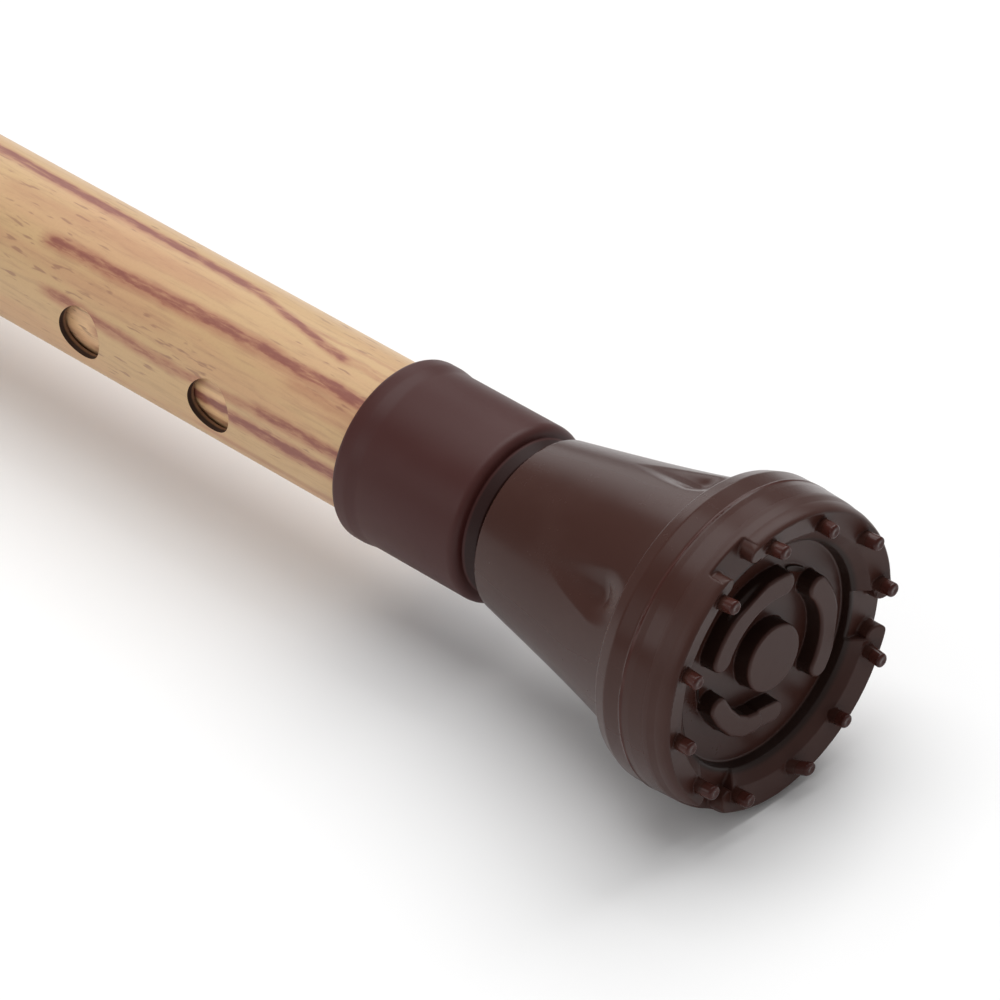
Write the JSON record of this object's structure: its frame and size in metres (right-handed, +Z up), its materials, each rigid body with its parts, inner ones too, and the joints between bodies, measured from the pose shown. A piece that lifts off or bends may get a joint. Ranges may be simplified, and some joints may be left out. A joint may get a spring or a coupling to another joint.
{
  "type": "walking cane",
  "caption": "Height-adjustable walking cane with a wood-print tube, a snap button, a flared rubber tip and a derby handle, lying on its side.",
  "frame": {"origin": "middle of the tread's centre disc, on the shaft's axis", "axes": "+X along the shaft, out of the tip; the cane lies on its side with +Z up; the adjustment holes, the button and the handle's nose face -Y"},
  "size_m": [0.765, 0.1229, 0.0446],
  "materials": {
    "brown_rubber": "moulded, semi-gloss",
    "plated_steel": "zinc plated, satin",
    "wood_print": "aluminium with a printed wood grain under satin lacquer",
    "natural_nylon": "natural, matt",
    "spring_steel": "blued strip",
    "brown_vinyl": "soft moulded, satin",
    "brown_plastic": "moulded, semi-gloss",
    "brass_band": "polished and lacquered"
  },
  "bodies": {
    "lower_section": {"rubber_tip": "brown_rubber", "tip_washer": "plated_steel", "lower_tube": "wood_print", "top_guide": "natural_nylon", "button_spring": "spring_steel"},
    "snap_button": {"button_head": "plated_steel"},
    "upper_section": {"upper_tube": "wood_print", "collar": "brown_vinyl", "handle": "brown_plastic", "handle_plug": "natural_nylon", "handle_ring": "brass_band", "handle_screw": "plated_steel"}
  },
  "joints": [
    {"name": "height_adjust", "type": "slide", "parent": "lower_section", "child": "upper_section", "axis": [-1, 0, 0], "range_m": [0, 0.1524]},
    {"name": "button_press", "type": "slide", "parent": "lower_section", "child": "snap_button", "axis": [0, 1, 0], "range_m": [0, 0.0041], "stiffness_N_per_m": 1500, "springref_m": -0.002, "deforming": ["button_spring"]}
  ]
}
